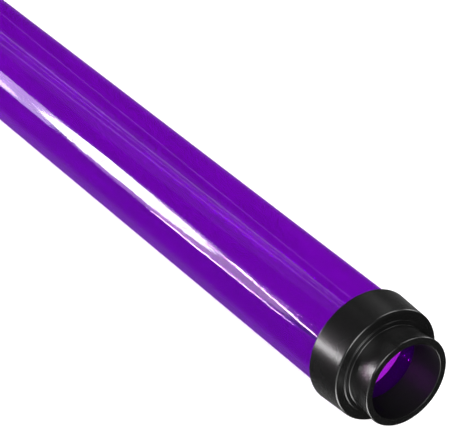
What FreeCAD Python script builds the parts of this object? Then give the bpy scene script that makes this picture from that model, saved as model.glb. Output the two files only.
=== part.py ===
import FreeCAD, Part
import math
import os

import Sketcher

# A coloured sleeve for a two-foot T8 lamp: a stiff clear tube, a rolled colour film inside it,
# and the same push-on black cap at each end. Millimetres. The tube lies along X, +Z is up, and
# the origin is at the bottom centre of the whole sleeve, under the widest edges of the caps.

DIMENSIONS = {
    # the clear tube
    "half_length": 278.5,
    "tube_radius": 19.05,
    "tube_wall": 0.5,
    # the colour film, rolled up with one long edge lapped under the other
    "film_half_length": 278.0,
    "film_thickness": 0.13,
    "film_gap": 0.1,
    "lap_step": 0.2,
    "lap_from": 150.0,
    "lap_to": 155.5,
    "joggle_from": 505.0,
    # cap: the skirt that pushes over the tube
    "socket_clearance": 0.06,
    "socket_depth": 10.4,
    "seat_gap": 0.2,
    "lead_in": 0.35,
    "end_wall": 3.0,
    "skirt_open_radius": 20.6,
    "skirt_face_radius": 19.95,
    # cap: the raised ring on its face, and the flared neck round the lamp's bore
    "ring_radius": 16.7,
    "ring_height": 0.5,
    "neck_length": 10.5,
    "neck_base_radius": 15.1,
    "neck_rim_radius": 16.1,
    "bore_radius": 13.4,
    # cap: rounded edges
    "skirt_open_fillet": 0.45,
    "skirt_face_fillet": 0.8,
    "ring_fillet": 0.2,
    "neck_root_fillet": 0.35,
    "neck_rim_fillet": 0.6,
    "bore_mouth_fillet": 0.4,
    "bore_inner_fillet": 0.5,
}

SHEET = "Dimensions"
ORIGIN = (-1, 1)  # a sketch's own origin, as geometry number and point number
VERTICAL_AXIS = -2
START, END, CENTRE = 1, 2, 3
FULL_TURN = 360.0
ZERO = ""
TOLERANCE = 1e-4


def number_of(expression):
    """The value of a sum or difference of dimensions, which places geometry to begin with."""
    total = 0.0
    sign = 1.0
    for word in expression.split():
        if word in ("+", "-"):
            sign = 1.0 if word == "+" else -1.0
        else:
            total += sign * DIMENSIONS[word]
    return total


def bound(expression):
    """The same sum written with the sheet's cells, for setExpression."""
    words = expression.split()
    return " ".join(w if w in ("+", "-") else f"{SHEET}.{w}" for w in words)


def make_sheet(doc):
    """The spreadsheet of driving dimensions, one row each."""
    sheet = doc.addObject("Spreadsheet::Sheet", SHEET)
    for row, (name, number) in enumerate(DIMENSIONS.items(), start=1):
        sheet.set(f"A{row}", name)
        sheet.set(f"B{row}", str(number))
        sheet.setAlias(f"B{row}", name)
    doc.recompute()


def make_body(doc, label):
    """An empty body with its sub-part's name."""
    body = doc.addObject("PartDesign::Body", label)
    body.Label = label
    return body


def origin_feature(body, role):
    """The body's own origin plane or axis with this role."""
    return next(f for f in body.Origin.OriginFeatures if f.Role == role)


def make_sketch(body, plane):
    """An empty sketch on one of the body's origin planes."""
    sketch = body.newObject("Sketcher::SketchObject", body.Label + "_outline")
    sketch.AttachmentSupport = [(origin_feature(body, plane), "")]
    sketch.MapMode = "FlatFace"
    return sketch


def relate(sketch, kind, *places):
    """A constraint with no size, such as two points that coincide."""
    sketch.addConstraint(Sketcher.Constraint(kind, *places))


def dimension(sketch, kind, *places, expression):
    """A constraint whose size is bound to the sheet."""
    number = number_of(expression)
    text = bound(expression)
    if kind == "Angle":
        number = math.radians(number)
        text = f"({text}) * 1 deg"
    index = sketch.addConstraint(Sketcher.Constraint(kind, *places, number))
    sketch.setExpression(f"Constraints[{index}]", text)


def circle(radius, centre=(0.0, 0.0)):
    """A circle in the sketch's plane."""
    return Part.Circle(FreeCAD.Vector(*centre, 0), FreeCAD.Vector(0, 0, 1), radius)


def pad_both_ways(body, sketch, half_length):
    """Pads the sketch the same distance to each side of its plane."""
    pad = body.newObject("PartDesign::Pad", body.Label + "_pad")
    pad.Profile = sketch
    pad.SideType = "Symmetric"
    pad.setExpression("Length", bound(f"{half_length} + {half_length}"))
    return pad


def place(body, along, turn=0.0):
    """Puts a body on the sleeve's axis, at a distance along X that is bound to the sheet."""
    sign = -1.0 if turn else 1.0
    height = number_of("skirt_open_radius")
    spin = FreeCAD.Rotation(FreeCAD.Vector(0, 0, 1), turn)
    body.Placement = FreeCAD.Placement(FreeCAD.Vector(0, 0, height), spin)
    body.setExpression(".Placement.Base.z", bound("skirt_open_radius"))
    if along != ZERO:
        body.setExpression(".Placement.Base.x", f"{sign} * ({bound(along)})")


def make_tube(doc):
    """The clear tube: a ring, padded both ways from the middle of the sleeve."""
    body = make_body(doc, "clear_tube")
    sketch = make_sketch(body, "YZ_Plane")
    for wall_face in ("tube_radius", "tube_radius - tube_wall"):
        ring = sketch.addGeometry(circle(number_of(wall_face)), False)
        relate(sketch, "Coincident", ring, CENTRE, *ORIGIN)
        dimension(sketch, "Radius", ring, expression=wall_face)
    pad_both_ways(body, sketch, "half_length")
    place(body, ZERO)
    return body


def add_ray(sketch, angle, length):
    """A construction line from the origin, held at an angle from the sketch's X axis."""
    turn = math.radians(number_of(angle))
    tip = FreeCAD.Vector(math.cos(turn), math.sin(turn), 0) * length
    ray = sketch.addGeometry(Part.LineSegment(FreeCAD.Vector(0, 0, 0), tip), True)
    relate(sketch, "Coincident", ray, START, *ORIGIN)
    dimension(sketch, "Angle", ray, expression=angle)
    return ray


def add_arc(sketch, radius, start, end):
    """An arc about the origin, its radius bound to the sheet."""
    angles = (math.radians(number_of(start)), math.radians(number_of(end)))
    arc = sketch.addGeometry(Part.ArcOfCircle(circle(number_of(radius)), *angles), False)
    relate(sketch, "Coincident", arc, CENTRE, *ORIGIN)
    dimension(sketch, "Radius", arc, expression=radius)
    return arc


def join(sketch, first, first_end, second, second_end):
    """A straight edge between the ends of two arcs."""
    points = (sketch.getPoint(first, first_end), sketch.getPoint(second, second_end))
    line = sketch.addGeometry(Part.LineSegment(*points), False)
    relate(sketch, "Coincident", line, START, first, first_end)
    relate(sketch, "Coincident", line, END, second, second_end)


def make_film(doc):
    """The colour film: nearly a full turn, then a joggle down to the lap under its first edge."""
    body = make_body(doc, "colour_film")
    sketch = make_sketch(body, "YZ_Plane")
    outside = "tube_radius - tube_wall - film_gap"
    inside = outside + " - film_thickness"
    turn_outer = add_arc(sketch, outside, "lap_from", "joggle_from")
    turn_inner = add_arc(sketch, inside, "lap_from", "joggle_from")
    lap_outer = add_arc(sketch, outside + " - lap_step", "lap_from", "lap_to")
    lap_inner = add_arc(sketch, inside + " - lap_step", "lap_from", "lap_to")

    edge = add_ray(sketch, "lap_from", number_of(outside))
    joggle = add_ray(sketch, "joggle_from", number_of(outside))
    lap_end = add_ray(sketch, "lap_to", number_of(outside + " - lap_step"))
    relate(sketch, "Coincident", edge, END, turn_outer, START)
    relate(sketch, "Coincident", joggle, END, turn_outer, END)
    relate(sketch, "Coincident", lap_end, END, lap_outer, END)
    for arc in (turn_inner, lap_outer, lap_inner):
        relate(sketch, "PointOnObject", arc, START, edge)
    relate(sketch, "PointOnObject", turn_inner, END, joggle)
    relate(sketch, "PointOnObject", lap_inner, END, lap_end)

    join(sketch, turn_outer, END, lap_outer, START)
    join(sketch, lap_outer, END, lap_inner, END)
    join(sketch, lap_inner, START, turn_inner, END)
    join(sketch, turn_inner, START, turn_outer, START)
    pad_both_ways(body, sketch, "film_half_length")
    place(body, ZERO)
    return body


def cap_corners():
    """The cap's half section as (along, radius) pairs, from the socket's open edge round.
    Along runs out from the open edge, and the neck's flare joins the last two outer corners."""
    face = "socket_depth + end_wall"
    ring_face = face + " + ring_height"
    front = face + " + neck_length"
    socket = "tube_radius + socket_clearance"
    return {
        "socket_edge": (ZERO, socket),
        "skirt_edge": (ZERO, "skirt_open_radius"),
        "skirt_face": (face, "skirt_face_radius"),
        "ring_foot": (face, "ring_radius"),
        "ring_edge": (ring_face, "ring_radius"),
        "neck_base": (ring_face, "neck_base_radius"),
        "neck_rim": (front, "neck_rim_radius"),
        "bore_mouth": (front, "bore_radius"),
        "bore_inner": ("socket_depth", "bore_radius"),
        "socket_floor": ("socket_depth", socket),
    }


def flare(start, end):
    """The neck's outline: an arc that leaves its base along the axis and opens to the rim."""
    run = end[0] - start[0]
    rise = end[1] - start[1]
    radius = (run * run + rise * rise) / (2.0 * rise)
    sweep = math.asin(run / radius)
    base = -math.pi / 2
    return Part.ArcOfCircle(circle(radius, (start[0], start[1] + radius)), base, base + sweep)


def draw_cap_section(sketch):
    """The closed half section: straight edges between the corners, and the neck's flare."""
    corners = cap_corners()
    names = list(corners)
    spots = {n: tuple(number_of(e) for e in corners[n]) for n in names}
    edges = {}
    for name, following in zip(names, names[1:] + names[:1]):
        start, end = spots[name], spots[following]
        if name == "neck_base":
            edge = flare(start, end)
        else:
            edge = Part.LineSegment(FreeCAD.Vector(*start, 0), FreeCAD.Vector(*end, 0))
        edges[name] = sketch.addGeometry(edge, False)
    for name, following in zip(names, names[1:] + names[:1]):
        relate(sketch, "Coincident", edges[name], END, edges[following], START)
    for name, (along, radius) in corners.items():
        corner = (edges[name], START)
        if along == ZERO:
            relate(sketch, "PointOnObject", *corner, VERTICAL_AXIS)
        else:
            dimension(sketch, "DistanceX", *ORIGIN, *corner, expression=along)
        dimension(sketch, "DistanceY", *ORIGIN, *corner, expression=radius)
    neck = edges["neck_base"]
    relate(sketch, "Vertical", neck, START, neck, CENTRE)


def circular_edges(shape, along, radius):
    """The names of the shape's round edges at this place on the axis, with this radius."""
    names = []
    for number, edge in enumerate(shape.Edges, start=1):
        curve = edge.Curve
        if not isinstance(curve, Part.Circle):
            continue
        if abs(curve.Center.x - along) < TOLERANCE and abs(curve.Radius - radius) < TOLERANCE:
            names.append(f"Edge{number}")
    if not names:
        raise RuntimeError(f"no round edge at {along:.2f} with radius {radius:.2f}")
    return names


def soften(body, kind, corner, amount):
    """Rounds or bevels the round edge that one corner of the section turns into."""
    body.Document.recompute()
    base = body.Tip
    along, radius = (number_of(e) for e in cap_corners()[corner])
    edges = circular_edges(base.Shape, along, radius)
    feature = body.newObject("PartDesign::" + kind, f"{body.Label}_{corner}")
    feature.Base = (base, edges)
    feature.setExpression("Radius" if kind == "Fillet" else "Size", bound(amount))


def make_cap(doc, label, turn):
    """An end cap, turned from its half section, then softened edge by edge."""
    body = make_body(doc, label)
    sketch = make_sketch(body, "XZ_Plane")
    draw_cap_section(sketch)
    turned = body.newObject("PartDesign::Revolution", label + "_turned")
    turned.Profile = sketch
    turned.ReferenceAxis = (origin_feature(body, "X_Axis"), [""])
    turned.Angle = FULL_TURN
    soften(body, "Chamfer", "socket_edge", "lead_in")
    soften(body, "Fillet", "skirt_edge", "skirt_open_fillet")
    soften(body, "Fillet", "skirt_face", "skirt_face_fillet")
    soften(body, "Fillet", "ring_edge", "ring_fillet")
    soften(body, "Fillet", "neck_base", "neck_root_fillet")
    soften(body, "Fillet", "neck_rim", "neck_rim_fillet")
    soften(body, "Fillet", "bore_mouth", "bore_mouth_fillet")
    soften(body, "Fillet", "bore_inner", "bore_inner_fillet")
    place(body, "half_length + seat_gap - socket_depth", turn)
    return body


def check(doc, bodies):
    """Stops if any object failed, any sketch is loose, or any sub-part isn't one valid solid."""
    for item in doc.Objects:
        if "Invalid" in item.State or "Error" in item.State:
            raise RuntimeError(f"{item.Label} failed: {item.State}")
        if item.TypeId == "Sketcher::SketchObject" and not item.FullyConstrained:
            raise RuntimeError(f"{item.Label} isn't fully constrained")
    for body in bodies:
        shape = body.Shape
        if shape.isNull() or not shape.isValid() or len(shape.Solids) != 1:
            raise RuntimeError(f"{body.Label} isn't one valid solid")


def write_parts(bodies):
    """Writes each sub-part to its own STEP file and prints its volume and box."""
    os.makedirs("parts", exist_ok=True)
    for body in bodies:
        body.Shape.exportStep(f"parts/{body.Label}.step")
        box = body.Shape.optimalBoundingBox()
        lengths = f"{box.XLength:.2f} x {box.YLength:.2f} x {box.ZLength:.2f} mm"
        print(f"{body.Label}: {body.Shape.Volume:.1f} mm3, {lengths}, lowest {box.ZMin:.3f}")


def main():
    doc = FreeCAD.newDocument("light_tube_sleeve")
    make_sheet(doc)
    bodies = [
        make_tube(doc),
        make_film(doc),
        make_cap(doc, "near_end_cap", 0.0),
        make_cap(doc, "far_end_cap", FULL_TURN / 2),
    ]
    doc.recompute()
    check(doc, bodies)
    write_parts(bodies)


main()
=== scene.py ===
import math

import bpy
from mathutils import Matrix, Vector


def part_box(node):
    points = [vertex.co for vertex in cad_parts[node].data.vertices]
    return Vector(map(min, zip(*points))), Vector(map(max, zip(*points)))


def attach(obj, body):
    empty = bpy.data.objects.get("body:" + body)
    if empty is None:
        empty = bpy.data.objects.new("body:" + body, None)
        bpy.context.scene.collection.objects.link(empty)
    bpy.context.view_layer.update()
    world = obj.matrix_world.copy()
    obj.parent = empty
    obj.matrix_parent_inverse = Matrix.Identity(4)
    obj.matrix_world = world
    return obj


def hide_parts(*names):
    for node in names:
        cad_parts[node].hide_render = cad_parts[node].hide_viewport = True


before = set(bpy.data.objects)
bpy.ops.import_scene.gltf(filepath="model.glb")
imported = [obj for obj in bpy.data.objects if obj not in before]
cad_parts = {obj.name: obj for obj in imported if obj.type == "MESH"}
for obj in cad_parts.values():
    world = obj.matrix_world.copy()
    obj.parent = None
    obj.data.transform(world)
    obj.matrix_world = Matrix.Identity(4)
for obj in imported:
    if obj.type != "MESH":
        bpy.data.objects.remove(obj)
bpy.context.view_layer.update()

# A violet light-tube sleeve with black end caps, on a pale floor. Metres; the tube lies along X.

MM = 0.001


# ---------------------------------------------------------------- places taken from the frame
def node_corners(node):
    """A node's lowest and highest corners."""
    low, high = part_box(node)
    return Vector(low), Vector(high)


TUBE_LOW, TUBE_HIGH = node_corners("clear_tube")
AXIS = Vector((0.0, (TUBE_LOW.y + TUBE_HIGH.y) / 2, (TUBE_LOW.z + TUBE_HIGH.z) / 2))
TUBE_RADIUS = (TUBE_HIGH.z - TUBE_LOW.z) / 2
TUBE_END = TUBE_HIGH.x
FILM_END = node_corners("colour_film")[1].x
CAP_LOW, CAP_HIGH = node_corners("near_end_cap")
CAP_OPEN = CAP_LOW.x
CAP_LENGTH = CAP_HIGH.x - CAP_LOW.x

# ---------------------------------------------------------------- sizes the frame doesn't give
TUBE_WALL, TUBE_CHAMFER = 0.5 * MM, 0.12 * MM
FILM_THICKNESS, FILM_GAP = 0.13 * MM, 0.1 * MM
FILM_RADIUS = TUBE_RADIUS - TUBE_WALL - FILM_GAP
LAP_FROM, LAP_TO = math.radians(150.0), math.radians(155.5)
JOGGLE_FROM, JOGGLE_TO = math.radians(505.0), LAP_FROM + 2 * math.pi
LAP_STEP = 0.2 * MM
SOCKET_DEPTH, END_WALL, RING_HEIGHT = 10.4 * MM, 3.0 * MM, 0.5 * MM
PUSH_FIT = 0.06 * MM
SOCKET = TUBE_RADIUS + PUSH_FIT
SKIRT_OPEN, SKIRT_FACE, RING = 20.6 * MM, 19.95 * MM, 16.7 * MM
NECK_BASE, NECK_RIM, BORE = 15.1 * MM, 16.1 * MM, 13.4 * MM
# Where the points drawn on the neck's arc start, and how far they reach, as shares of its run.
FLARE_START, FLARE_SPAN = 0.08, 0.84
# The film's long waves, the drift that bends them and the ripple over them: how deep or strong they are,
# how fast they turn along the tube, in radians per metre, and how often they repeat round it.
WAVE_DEPTH, WAVE_RATE = 0.022 * MM, 41.0
DRIFT_SIZE, DRIFT_RATE, DRIFT_ROUND = 2.0, 9.0, 2.0
RIPPLE_DEPTH, RIPPLE_RATE, RIPPLE_ROUND = 0.006 * MM, 63.0, 7.0

# ---------------------------------------------------------------- how finely the meshes are drawn
SEGMENTS = 256
FILLET_STEPS, CHAMFER_STEPS, FLARE_STEPS = 8, 3, 12
TURN_STEPS, JOGGLE_STEPS, LAP_STEPS = 240, 8, 6
FILM_STATIONS = 160
SUPPORT_REACH, LONG_EDGE = 0.03 * MM, 0.2 * MM
SHARP_ANGLE = math.radians(40)


# ---------------------------------------------------------------- mesh tools
def new_object(name, verts, faces, body, replaced):
    """A smooth mesh piece that rides on a body and stands for a node, whose part it hides."""
    mesh = bpy.data.meshes.new(name)
    mesh.from_pydata(verts, [], faces)
    mesh.validate()
    mesh.update()
    mesh.shade_smooth()
    mesh.set_sharp_from_angle(angle=SHARP_ANGLE)
    piece = bpy.data.objects.new(name, mesh)
    bpy.context.scene.collection.objects.link(piece)
    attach(piece, body)
    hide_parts(replaced)
    return piece


def on_ring(x, radius, turn):
    """The point at an angle round the sleeve's axis."""
    return (x, AXIS.y + radius * math.cos(turn), AXIS.z + radius * math.sin(turn))


def fillet_arc(before, here, after, fillet, steps):
    """Points on the arc that rounds the corner here, between its two neighbours."""
    toward = (before - here).normalized()
    onward = (after - here).normalized()
    half = toward.angle(onward) / 2
    reach = fillet / math.tan(half)
    middle = here + (toward + onward).normalized() * (fillet / math.sin(half))
    start = here + toward * reach - middle
    end = here + onward * reach - middle
    sweep = start.angle_signed(end)
    points = []
    for k in range(steps + 1):
        turn = -sweep * k / steps
        c, s = math.cos(turn), math.sin(turn)
        points.append(middle + Vector((c * start.x - s * start.y, s * start.x + c * start.y)))
    return points


def rounded(corners, steps=FILLET_STEPS):
    """A closed outline from (x, r, fillet) corners, each fillet drawn as an arc."""
    points = []
    for i, (x, r, fillet) in enumerate(corners):
        here = Vector((x, r))
        if fillet > 0:
            before = Vector(corners[i - 1][:2])
            after = Vector(corners[(i + 1) % len(corners)][:2])
            points += fillet_arc(before, here, after, fillet, steps)
        else:
            points.append(here)
    return points


def supported(outline):
    """Adds a point just inside each end of every long edge, so that its shading stays flat along it."""
    points = []
    for i, here in enumerate(outline):
        following = outline[(i + 1) % len(outline)]
        run = following - here
        points.append(here)
        if run.length > LONG_EDGE:
            step = run.normalized() * SUPPORT_REACH
            points += [here + step, following - step]
    return points


def lathe(outline, place):
    """Turns a closed (x, r) outline about the sleeve's axis; place maps an outline x to the row's X."""
    outline = supported(outline)
    rows = len(outline)
    verts, faces = [], []
    for k in range(SEGMENTS):
        turn = 2 * math.pi * k / SEGMENTS
        verts += [on_ring(place(point.x), point.y, turn) for point in outline]
        here = k * rows
        following = ((k + 1) % SEGMENTS) * rows
        for i in range(rows):
            j = (i + 1) % rows
            faces.append((here + i, following + i, following + j, here + j))
    return verts, faces


# ---------------------------------------------------------------- pieces
def make_tube():
    """The clear tube, both faces of its wall, with chamfered ends."""
    corners = [
        (-TUBE_END, TUBE_RADIUS, TUBE_CHAMFER),
        (TUBE_END, TUBE_RADIUS, TUBE_CHAMFER),
        (TUBE_END, TUBE_RADIUS - TUBE_WALL, TUBE_CHAMFER),
        (-TUBE_END, TUBE_RADIUS - TUBE_WALL, TUBE_CHAMFER),
    ]
    verts, faces = lathe(rounded(corners, CHAMFER_STEPS), lambda x: x)
    return new_object("tube_clear", verts, faces, "tube", "clear_tube")


def film_path():
    """The rolled film's outer face as (angle, radius): round the turn, down the joggle, under the lap."""
    path = []
    for k in range(TURN_STEPS):
        turn = LAP_FROM + (JOGGLE_FROM - LAP_FROM) * k / (TURN_STEPS - 1)
        path.append((turn, FILM_RADIUS))
    for k in range(1, JOGGLE_STEPS + 1):
        share = k / JOGGLE_STEPS
        ease = share * share * (3 - 2 * share)
        turn = JOGGLE_FROM + (JOGGLE_TO - JOGGLE_FROM) * share
        path.append((turn, FILM_RADIUS - LAP_STEP * ease))
    for k in range(1, LAP_STEPS + 1):
        turn = JOGGLE_TO + (LAP_TO - LAP_FROM) * k / LAP_STEPS
        path.append((turn, FILM_RADIUS - LAP_STEP))
    return path


def buckle(x, turn):
    """How far the film stands off the tube, inward: long shallow waves with a fainter ripple."""
    drift = DRIFT_SIZE * math.sin(turn * DRIFT_ROUND + x * DRIFT_RATE)
    wave = 0.5 + 0.5 * math.sin(x * WAVE_RATE + drift)
    ripple = 0.5 + 0.5 * math.sin(turn * RIPPLE_ROUND + x * RIPPLE_RATE)
    return WAVE_DEPTH * wave + RIPPLE_DEPTH * ripple


def film_faces(half):
    """Quads from station to station round the film's outline, then the film's two ends."""
    rows = 2 * half
    last = (FILM_STATIONS - 1) * rows
    faces = []
    for here in range(0, last, rows):
        following = here + rows
        for k in range(rows):
            j = (k + 1) % rows
            faces.append((here + k, here + j, following + j, following + k))
    for k in range(half - 1):
        a, b, c, d = k, k + 1, rows - 2 - k, rows - 1 - k
        faces.append((d, c, b, a))
        faces.append((last + a, last + b, last + c, last + d))
    return faces


def make_film():
    """The violet sheet, rolled up inside the tube, with its lapped seam."""
    outer = film_path()
    inner = [(turn, radius - FILM_THICKNESS) for turn, radius in reversed(outer)]
    verts = []
    for i in range(FILM_STATIONS):
        x = -FILM_END + 2 * FILM_END * i / (FILM_STATIONS - 1)
        verts += [on_ring(x, radius - buckle(x, turn), turn) for turn, radius in outer + inner]
    return new_object("film_violet", verts, film_faces(len(outer)), "tube", "colour_film")


def neck_flare(start, run):
    """Corners on the neck's arc between its base and its rim, none of them rounded."""
    rise = NECK_RIM - NECK_BASE
    radius = (run * run + rise * rise) / (2 * rise)
    corners = []
    for k in range(1, FLARE_STEPS):
        along = run * (FLARE_START + FLARE_SPAN * k / FLARE_STEPS)
        height = radius - math.sqrt(radius * radius - along * along)
        corners.append((start + along, NECK_BASE + height, 0))
    return corners


def cap_outline():
    """A cap's section, from (x, r, fillet) corners: skirt, ring, neck and back through the bore."""
    face = SOCKET_DEPTH + END_WALL
    ring_face = face + RING_HEIGHT
    return rounded(
        [
            (0.0, SOCKET, 0.3 * MM),
            (0.0, SKIRT_OPEN, 0.45 * MM),
            (face, SKIRT_FACE, 0.8 * MM),
            (face, RING, 0.15 * MM),
            (ring_face, RING, 0.2 * MM),
            (ring_face, NECK_BASE, 0.35 * MM),
            *neck_flare(ring_face, CAP_LENGTH - ring_face),
            (CAP_LENGTH, NECK_RIM, 0.6 * MM),
            (CAP_LENGTH, BORE, 0.4 * MM),
            (SOCKET_DEPTH, BORE, 0.5 * MM),
            (SOCKET_DEPTH, SOCKET, 0.3 * MM),
        ]
    )


def make_cap(name, body, node, side):
    """A cap at the tube's end on one side: 1 is the near end, -1 the far one."""
    verts, faces = lathe(cap_outline(), lambda x: side * (CAP_OPEN + x))
    if side < 0:
        faces = [tuple(reversed(face)) for face in faces]
    return new_object(name, verts, faces, body, node)


# ---------------------------------------------------------------- node tools
def new_material(name):
    """An empty node material: itself, its tree and its output node."""
    material = bpy.data.materials.new(name)
    material.use_nodes = True
    tree = material.node_tree
    tree.nodes.clear()
    out = tree.nodes.new("ShaderNodeOutputMaterial")
    return material, tree, out


def add(tree, kind, **values):
    """A node with its inputs set by name."""
    node = tree.nodes.new(kind)
    for name, value in values.items():
        node.inputs[name.replace("_", " ")].default_value = value
    return node


def math_node(tree, operation, first, second):
    """A Math node; each operand is a socket or a plain number."""
    node = tree.nodes.new("ShaderNodeMath")
    node.operation = operation
    for socket, operand in zip(node.inputs, (first, second)):
        if isinstance(operand, (int, float)):
            socket.default_value = operand
        else:
            tree.links.new(operand, socket)
    return node.outputs[0]


def mix_shaders(tree, first, second):
    """A Mix Shader node that joins two shader outputs."""
    mix = tree.nodes.new("ShaderNodeMixShader")
    tree.links.new(first, mix.inputs[1])
    tree.links.new(second, mix.inputs[2])
    return mix


def round_the_tube(tree, per_turn, per_metre):
    """Texture coordinates that run round the sleeve's axis and along it."""
    coords = tree.nodes.new("ShaderNodeTexCoord")
    parts = tree.nodes.new("ShaderNodeSeparateXYZ")
    tree.links.new(coords.outputs["Object"], parts.inputs[0])
    across = math_node(tree, "SUBTRACT", parts.outputs["Y"], AXIS.y)
    height = math_node(tree, "SUBTRACT", parts.outputs["Z"], AXIS.z)
    turn = math_node(tree, "ARCTAN2", across, height)
    vector = tree.nodes.new("ShaderNodeCombineXYZ")
    tree.links.new(math_node(tree, "MULTIPLY", turn, per_turn), vector.inputs["X"])
    tree.links.new(math_node(tree, "MULTIPLY", parts.outputs["X"], per_metre), vector.inputs["Y"])
    return vector.outputs[0]


def noise(tree, vector, scale, detail):
    """A 0 to 1 noise value."""
    node = add(tree, "ShaderNodeTexNoise", Scale=scale, Detail=detail)
    tree.links.new(vector, node.inputs["Vector"])
    return node.outputs["Fac"]


def between(tree, factor, low, high):
    """Maps a 0 to 1 value to a range."""
    node = add(tree, "ShaderNodeMapRange", To_Min=low, To_Max=high)
    tree.links.new(factor, node.inputs["Value"])
    return node.outputs["Result"]


def colours_between(tree, factor, first, second):
    """Maps a 0 to 1 value to a range of colours."""
    node = tree.nodes.new("ShaderNodeValToRGB")
    node.color_ramp.elements[0].color = (*first, 1)
    node.color_ramp.elements[1].color = (*second, 1)
    tree.links.new(factor, node.inputs[0])
    return node.outputs["Color"]


def bump(tree, height, distance):
    """A normal tilted by a height value."""
    node = add(tree, "ShaderNodeBump", Strength=1.0, Distance=distance)
    tree.links.new(height, node.inputs["Height"])
    return node.outputs["Normal"]


# ---------------------------------------------------------------- materials
# How the sheets' textures repeat along and round the tube, how far their tint and roughness stray,
# how fast their gloss grows toward the edge, and the film's haze; then the caps' grain, and how far
# beyond the bore's radius its finish reaches.
LINES_PER_METRE = 1.4
DENSITY_PER_TURN, DENSITY_PER_METRE = 3.0, 25.0
DENSE_FACTOR, THIN_POWER = 0.95, 0.9
GLANCE_POWER = 5.0
ROUGHNESS_SPREAD = 0.4
HAZE_SHARE = 0.028
GRAIN_SCALE, PATCH_SCALE, GRAIN_DEPTH = 1600.0, 90.0, 0.000012
BORE_MARGIN = 0.1 * MM


def tinted_through(tree, tint):
    """Light that goes straight through a sheet, tinted a little unevenly."""
    coords = round_the_tube(tree, DENSITY_PER_TURN, DENSITY_PER_METRE)
    density = noise(tree, coords, scale=1.0, detail=4.0)
    dense = [c * DENSE_FACTOR for c in tint]
    thin = [c**THIN_POWER for c in tint]
    through = tree.nodes.new("ShaderNodeBsdfTransparent")
    tree.links.new(colours_between(tree, density, dense, thin), through.inputs["Color"])
    return through.outputs[0]


def textured_mirror(tree, roughness, lines, relief):
    """The gloss of a sheet with a texture drawn out along the tube, of a count round it and a depth."""
    texture = noise(tree, round_the_tube(tree, lines, LINES_PER_METRE), scale=1.0, detail=3.0)
    smoothest = roughness * (1 - ROUGHNESS_SPREAD)
    roughest = roughness * (1 + ROUGHNESS_SPREAD)
    mirror = add(tree, "ShaderNodeBsdfGlossy", Color=(1, 1, 1, 1))
    tree.links.new(between(tree, texture, smoothest, roughest), mirror.inputs["Roughness"])
    tree.links.new(bump(tree, texture, relief), mirror.inputs["Normal"])
    return mirror.outputs[0]


def mirrored_share(tree, gloss, edge):
    """The share that glances off: from gloss, face on, to edge, at a glance. Back faces have none."""
    facing = add(tree, "ShaderNodeLayerWeight", Blend=0.5).outputs["Facing"]
    share = between(tree, math_node(tree, "POWER", facing, GLANCE_POWER), gloss, edge)
    backfacing = tree.nodes.new("ShaderNodeNewGeometry").outputs["Backfacing"]
    return math_node(tree, "MULTIPLY", share, math_node(tree, "SUBTRACT", 1.0, backfacing))


def clouded(tree, surface, haze):
    """A surface with a small, even share of a matt colour mixed in."""
    body = add(tree, "ShaderNodeBsdfDiffuse", Color=(*haze, 1))
    mix = mix_shaders(tree, surface, body.outputs[0])
    mix.inputs["Fac"].default_value = HAZE_SHARE
    return mix.outputs[0]


def sheer(name, tint, gloss, edge, roughness, lines, relief, haze=None):
    """One face of a thin clear sheet: light goes through it, tinted, and a share glances off.

    gloss and edge are that share, face on and at a glance. lines and relief are the texture's count
    and depth. haze is a matt colour, or None.
    """
    material, tree, out = new_material(name)
    through = tinted_through(tree, tint)
    mirror = textured_mirror(tree, roughness, lines, relief)
    mix = mix_shaders(tree, through, mirror)
    tree.links.new(mirrored_share(tree, gloss, edge), mix.inputs["Fac"])
    surface = clouded(tree, mix.outputs[0], haze) if haze else mix.outputs[0]
    tree.links.new(surface, out.inputs["Surface"])
    return material


def black_plastic(name, roughness, shades, gloss_index):
    """Moulded black plastic with a fine grain; its roughness and its shade each stay in a range."""
    material, tree, out = new_material(name)
    coords = tree.nodes.new("ShaderNodeTexCoord").outputs["Object"]
    grain = noise(tree, coords, GRAIN_SCALE, detail=3.0)
    patches = noise(tree, coords, PATCH_SCALE, detail=2.0)
    body = add(tree, "ShaderNodeBsdfPrincipled", IOR=gloss_index)
    darkest, palest = [(shade,) * 3 for shade in shades]
    tree.links.new(colours_between(tree, grain, darkest, palest), body.inputs["Base Color"])
    tree.links.new(between(tree, patches, *roughness), body.inputs["Roughness"])
    tree.links.new(bump(tree, grain, GRAIN_DEPTH), body.inputs["Normal"])
    tree.links.new(body.outputs[0], out.inputs["Surface"])
    return material


def dress_tube(tube):
    """Gives the tube's outer and inner faces their own gloss: the inner one mirrors less."""
    clear = (1.0, 1.0, 1.0)
    skin = {"roughness": 0.07, "lines": 40.0, "relief": 0.000003}
    tube.data.materials.append(sheer("clear_tube_outside", clear, gloss=0.045, edge=0.24, **skin))
    tube.data.materials.append(sheer("clear_tube_inside", clear, gloss=0.02, edge=0.1, **skin))
    for face in tube.data.polygons:
        outward = Vector((0, face.center.y - AXIS.y, face.center.z - AXIS.z))
        face.material_index = 0 if face.normal.dot(outward) > 0 else 1


def dress_film(film):
    """Gives the film its violet, with a faint haze of the same hue."""
    violet = (0.59, 0.10, 0.75)
    haze = (0.45, 0.005, 1.0)
    skin = {"roughness": 0.07, "lines": 12.0, "relief": 0.000005}
    film.data.materials.append(sheer("violet_filter", violet, gloss=0.018, edge=0.1, haze=haze, **skin))


def dress_caps(caps):
    """Satin caps with a duller bore."""
    satin = black_plastic("black_satin_plastic", (0.255, 0.285), (0.002, 0.006), gloss_index=1.4)
    matte = black_plastic("black_matte_bore", (0.45, 0.55), (0.002, 0.005), gloss_index=1.22)
    for cap in caps:
        cap.data.materials.append(satin)
        cap.data.materials.append(matte)
        for face in cap.data.polygons:
            radius = math.hypot(face.center.y - AXIS.y, face.center.z - AXIS.z)
            face.material_index = 1 if radius < BORE + BORE_MARGIN else 0


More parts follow.
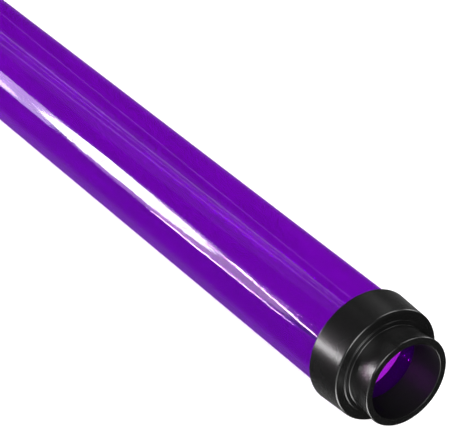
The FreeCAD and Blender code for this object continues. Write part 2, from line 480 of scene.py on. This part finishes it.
# ---------------------------------------------------------------- stage
# Soft patches that the gloss sees in the dark studio: the direction they lie in, the cosines from it
# where they start and where they are full, and how bright they are.
GLOWS = (
    ((-0.69, 0.33, -0.64), 0.68, 0.86, 0.26),
    ((0.50, -0.75, -0.40), 0.82, 0.95, 3.5),
    ((0.26, -0.45, -0.86), 0.90, 0.98, 16.0),
)
STUDIO_DARK, AMBIENT, PALE_ROOM = 0.03, 0.1, 1.5
FLOOR_SIZE, FLOOR_DROP, FLOOR_GLOW = 12.0, 0.0005, 0.5


def glow(tree, direction, toward, start, full, strength):
    """The brightness of one soft patch, which rises from start to full."""
    dot = tree.nodes.new("ShaderNodeVectorMath")
    dot.operation = "DOT_PRODUCT"
    dot.inputs[1].default_value = Vector(toward).normalized()
    tree.links.new(direction, dot.inputs[0])
    ramp = add(tree, "ShaderNodeMapRange", From_Min=start, From_Max=full, To_Min=0.0, To_Max=strength)
    ramp.interpolation_type = "SMOOTHSTEP"
    tree.links.new(dot.outputs["Value"], ramp.inputs["Value"])
    return ramp.outputs["Result"]


def dark_studio(tree):
    """What the gloss sees: near darkness, a pale backdrop behind, and a sweep in front and below."""
    direction = tree.nodes.new("ShaderNodeTexCoord").outputs["Generated"]
    backdrop, sweep, below = [glow(tree, direction, *patch) for patch in GLOWS]
    patches = math_node(tree, "ADD", math_node(tree, "ADD", backdrop, sweep), below)
    room = tree.nodes.new("ShaderNodeBackground")
    tree.links.new(math_node(tree, "ADD", patches, STUDIO_DARK), room.inputs["Strength"])
    return room.outputs[0]


def make_world():
    """A white room to the eye, a dark studio to the gloss and a dim even light to everything else."""
    world = bpy.data.worlds.new("studio")
    bpy.context.scene.world = world
    world.cycles.sampling_method = "NONE"
    world.use_nodes = True
    tree = world.node_tree
    tree.nodes.clear()
    out = tree.nodes.new("ShaderNodeOutputWorld")
    studio = dark_studio(tree)
    ambient = add(tree, "ShaderNodeBackground", Strength=AMBIENT)
    pale = add(tree, "ShaderNodeBackground", Color=(1, 1, 1, 1), Strength=PALE_ROOM)
    path = tree.nodes.new("ShaderNodeLightPath")
    seen = mix_shaders(tree, ambient.outputs[0], pale.outputs[0])
    tree.links.new(path.outputs["Is Camera Ray"], seen.inputs["Fac"])
    mix = mix_shaders(tree, seen.outputs[0], studio)
    tree.links.new(path.outputs["Is Glossy Ray"], mix.inputs["Fac"])
    tree.links.new(mix.outputs[0], out.inputs["Surface"])


def make_floor():
    """A pale floor just under the object, which the gloss doesn't see."""
    size = FLOOR_SIZE
    corners = [(-size, -size, 0), (size, -size, 0), (size, size, 0), (-size, size, 0)]
    mesh = bpy.data.meshes.new("floor")
    mesh.from_pydata(corners, [], [(0, 1, 2, 3)])
    floor = bpy.data.objects.new("floor", mesh)
    bpy.context.scene.collection.objects.link(floor)
    floor.location.z = -FLOOR_DROP
    floor.visible_glossy = False
    floor.visible_shadow = False
    material, tree, out = new_material("pale_floor")
    body = add(tree, "ShaderNodeBsdfPrincipled", Roughness=0.9, Base_Color=(0.8, 0.8, 0.8, 1))
    body.inputs["Emission Color"].default_value = (1, 1, 1, 1)
    body.inputs["Emission Strength"].default_value = FLOOR_GLOW
    tree.links.new(body.outputs[0], out.inputs["Surface"])
    mesh.materials.append(material)


def lamp_energy(radiance, size, shape):
    """The power that gives an area lamp a brightness."""
    fill = math.pi / 4 if shape == "ELLIPSE" else 1.0
    return radiance * math.pi * size[0] * size[1] * fill


def turned_to_face(back, turn):
    """A rotation that looks against back, turned about it by some degrees."""
    side = Vector((0, 0, 1)).cross(back).normalized()
    up = back.cross(side)
    c, s = math.cos(math.radians(turn)), math.sin(math.radians(turn))
    return Matrix((side * c + up * s, up * c - side * s, back)).transposed().to_4x4()


WHITE, WARM, COOL = (1, 1, 1), (1.0, 0.62, 0.91), (0.9, 0.72, 1.0)


def make_light(name, place, target, size, turn, radiance, shape, colour=WHITE):
    """A soft lamp that faces target: its width and height, its turn about that line, its brightness."""
    data = bpy.data.lights.new(name, "AREA")
    data.shape = shape
    data.size, data.size_y = size
    data.color = colour
    data.energy = lamp_energy(radiance, size, shape)
    light = bpy.data.objects.new(name, data)
    bpy.context.scene.collection.objects.link(light)
    light.matrix_world = turned_to_face((Vector(place) - Vector(target)).normalized(), turn)
    light.location = place
    light.visible_camera = False


# The long low softbox to the front left, and the point on the tube, toward its near end, that it faces.
KEY_MIDDLE, KEY_SUBJECT = Vector((-0.138, -0.304, 0.092)), Vector((0.1625, -0.0163, 0.0304))
# Its panels: how far along its plane, how far up it, width, height, turn, brightness, shape and colour.
KEY_PANELS = (
    (-0.020, 0.002, 0.086, 0.116, 0, 36.0, "ELLIPSE", WHITE),
    (0.012, -0.002, 0.076, 0.108, 0, 36.0, "ELLIPSE", WHITE),
    (0.008, -0.014, 0.120, 0.175, 0, 3.0, "ELLIPSE", WARM),
    (0.050, -0.030, 0.110, 0.110, -20, 3.6, "ELLIPSE", WARM),
    (0.088, 0.020, 0.085, 0.007, -36, 80.0, "RECTANGLE", WARM),
    (0.062, -0.096, 0.090, 0.006, 8, 80.0, "RECTANGLE", WARM),
    (-0.130, -0.050, 0.110, 0.070, 0, 18.0, "ELLIPSE", COOL),
    (-0.108, -0.018, 0.116, 0.120, 0, 6.5, "RECTANGLE", COOL),
    (0.180, -0.010, 0.060, 0.100, 0, 50.0, "ELLIPSE", WHITE),
)


def make_key_group():
    """The softbox's panels, all in one plane."""
    back = (KEY_MIDDLE - KEY_SUBJECT).normalized()
    along = Vector((0, 0, 1)).cross(back).normalized()
    up = back.cross(along)
    for number, (right, above, width, height, turn, radiance, shape, colour) in enumerate(KEY_PANELS):
        place = KEY_MIDDLE + along * right + up * above
        make_light(f"key_{number}", place, place - back, (width, height), turn, radiance, shape, colour)


# The other lamps: name, place, what they face, width and height, brightness and shape.
ROOM_LAMPS = (
    ("overhead", (-0.5, -0.1, 0.65), (0.1, 0, 0.02), (0.6, 0.42), 0.09, "ELLIPSE"),
    ("strip_high", (-0.48, 0.055, 0.66), (0.16, 0, 0.03), (0.035, 0.8), 0.8, "ELLIPSE"),
    ("strip_middle", (-0.48, -0.02, 0.66), (0.16, 0, 0.03), (0.02, 0.8), 0.6, "ELLIPSE"),
    ("strip_low", (-0.48, -0.12, 0.64), (0.16, 0, 0.03), (0.03, 0.7), 0.5, "ELLIPSE"),
    ("strip_top", (-0.44, 0.32, 0.62), (0.16, 0, 0.03), (0.02, 0.8), 0.4, "ELLIPSE"),
    ("back", (0.12, 0.5, 0.75), (0.28, 0, 0.02), (0.5, 0.5), 7.0, "RECTANGLE"),
    ("rim", (0.05, 0.84, 0.22), (0.28, 0, 0.02), (0.4, 0.3), 6.0, "RECTANGLE"),
    ("main", (0.90, -0.45, 0.58), (0.25, 0, 0.02), (0.6, 0.6), 15.0, "RECTANGLE"),
)


def make_room_lamps():
    """Every lamp of the table above, none of them turned."""
    for name, place, target, size, radiance, shape in ROOM_LAMPS:
        make_light(name, place, target, size, 0, radiance, shape)


CAMERA_AZIMUTH, CAMERA_ELEVATION = math.radians(55.25), math.radians(33.1)
CAMERA_DISTANCE, CAMERA_LENS = 0.8141, 189.0
CAMERA_AIM = Vector((CAP_OPEN - 0.0742, AXIS.y, AXIS.z + 0.0089))


def make_camera():
    """Looks down along the tube from beyond its near cap, from the front right, with a long lens."""
    level = math.cos(CAMERA_ELEVATION)
    x = math.sin(CAMERA_AZIMUTH) * level
    y = -math.cos(CAMERA_AZIMUTH) * level
    back = Vector((x, y, math.sin(CAMERA_ELEVATION)))
    data = bpy.data.cameras.new("camera")
    data.lens = CAMERA_LENS
    camera = bpy.data.objects.new("camera", data)
    bpy.context.scene.collection.objects.link(camera)
    camera.location = CAMERA_AIM + back * CAMERA_DISTANCE
    camera.rotation_mode = "QUATERNION"
    camera.rotation_quaternion = (-back).to_track_quat("-Z", "Y")
    bpy.context.scene.camera = camera


# ---------------------------------------------------------------- the scene
tube = make_tube()
film = make_film()
near_cap = make_cap("cap_near", "near_cap", "near_end_cap", 1.0)
far_cap = make_cap("cap_far", "far_cap", "far_end_cap", -1.0)
dress_tube(tube)
dress_film(film)
dress_caps((near_cap, far_cap))

make_world()
make_floor()
make_key_group()
make_room_lamps()
make_camera()

BOUNCES = 24
scene = bpy.context.scene
scene.view_settings.view_transform = "Standard"
scene.cycles.max_bounces = BOUNCES
scene.cycles.transmission_bounces = BOUNCES
scene.cycles.transparent_max_bounces = BOUNCES
